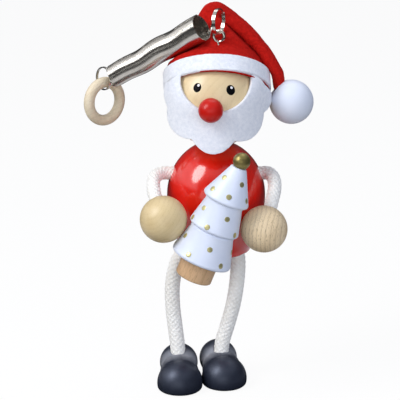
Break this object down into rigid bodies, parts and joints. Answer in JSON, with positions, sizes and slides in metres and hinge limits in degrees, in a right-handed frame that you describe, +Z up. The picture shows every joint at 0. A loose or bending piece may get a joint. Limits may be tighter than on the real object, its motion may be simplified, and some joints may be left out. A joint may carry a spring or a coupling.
{
  "type": "wooden spring figure",
  "caption": "Hanging wooden winter figure with felt cap and beard, rope arms and legs and a small tree, on a bouncy extension spring with a wooden ring.",
  "frame": {"origin": "middle of the whole object's footprint, on the floor under the shoe soles", "axes": "+Z up, the face looks along -Y, the figure's own left is +X"},
  "size_m": [0.1094, 0.0752, 0.1834],
  "materials": {
    "beech": "bare sanded beech",
    "red_lacquer": "glossy red lacquer on wood",
    "red_felt": "matte wool felt",
    "white_felt": "matte wool felt",
    "white_paint": "satin white paint on wood",
    "gold_paint": "metallic gold paint on wood",
    "cotton_rope": "braided cotton",
    "black_paint": "satin black paint on wood",
    "nickel_steel": "bright nickel plating"
  },
  "bodies": {
    "figure": {"torso": "red_lacquer", "head_ball": "beech", "neck_dowel": "beech", "nose_ball": "red_lacquer", "beard": "white_felt", "cap_crown": "red_felt", "cap_brim": "white_felt", "eye_screw": "nickel_steel", "tree_body": "white_paint", "tree_trunk": "beech", "tree_bead": "gold_paint", "tree_dowel": "beech"},
    "cap_tip": {"cap_tail": "red_felt", "pompon_ball": "white_paint"},
    "spring": {"extension_spring": "nickel_steel"},
    "spring_end": {"spring_end_loop": "nickel_steel"},
    "ring": {"hanging_ring": "beech"},
    "right_arm": {"right_hand": "beech", "right_arm_rope": "cotton_rope"},
    "left_arm": {"left_hand": "beech", "left_arm_rope": "cotton_rope"},
    "right_leg": {"right_shoe": "black_paint", "right_leg_rope": "cotton_rope"},
    "left_leg": {"left_shoe": "black_paint", "left_leg_rope": "cotton_rope"}
  },
  "joints": [
    {"name": "cap_fold", "type": "hinge", "parent": "figure", "child": "cap_tip", "pos_m": [0.00918, 0.02385, 0.182], "axis": [0, -1, 0], "range_deg": [0, 60], "deforming": ["cap_tail"]},
    {"name": "spring_swing", "type": "hinge", "parent": "figure", "child": "spring", "pos_m": [0.00978, 0.00685, 0.1698], "axis": [0.3502, 0.9367, 0], "range_deg": [0, 118]},
    {"name": "spring_stretch", "type": "slide", "parent": "spring", "child": "spring_end", "axis": [-0.8144, 0.3045, -0.4939], "range_m": [0, 0.1], "stiffness_N_per_m": 20, "springref_m": -0.01, "deforming": ["extension_spring"]},
    {"name": "ring_swing", "type": "hinge", "parent": "spring_end", "child": "ring", "pos_m": [-0.04505, 0.02735, 0.14092], "axis": [0.66, -0.7513, 0], "range_deg": [-40, 40]},
    {"name": "right_arm_raise", "type": "hinge", "parent": "figure", "child": "right_arm", "pos_m": [-0.01282, 0.01085, 0.1036], "axis": [0, 1, 0], "range_deg": [0, 85], "stiffness_Nm_per_rad": 0.002, "springref_deg": -11.46, "deforming": ["right_arm_rope"]},
    {"name": "left_arm_raise", "type": "hinge", "parent": "figure", "child": "left_arm", "pos_m": [0.02968, 0.01085, 0.1036], "axis": [0, -1, 0], "range_deg": [0, 85], "stiffness_Nm_per_rad": 0.002, "springref_deg": -11.46, "deforming": ["left_arm_rope"]},
    {"name": "right_leg_kick", "type": "hinge", "parent": "figure", "child": "right_leg", "pos_m": [-0.00552, 0.00625, 0.067], "axis": [-0.866, 0.5, 0], "range_deg": [0, 65], "stiffness_Nm_per_rad": 0.12, "deforming": ["right_leg_rope"]},
    {"name": "left_leg_kick", "type": "hinge", "parent": "figure", "child": "left_leg", "pos_m": [0.01828, 0.00545, 0.068], "axis": [-0.8192, -0.5736, 0], "range_deg": [0, 65], "stiffness_Nm_per_rad": 0.12, "deforming": ["left_leg_rope"]}
  ]
}
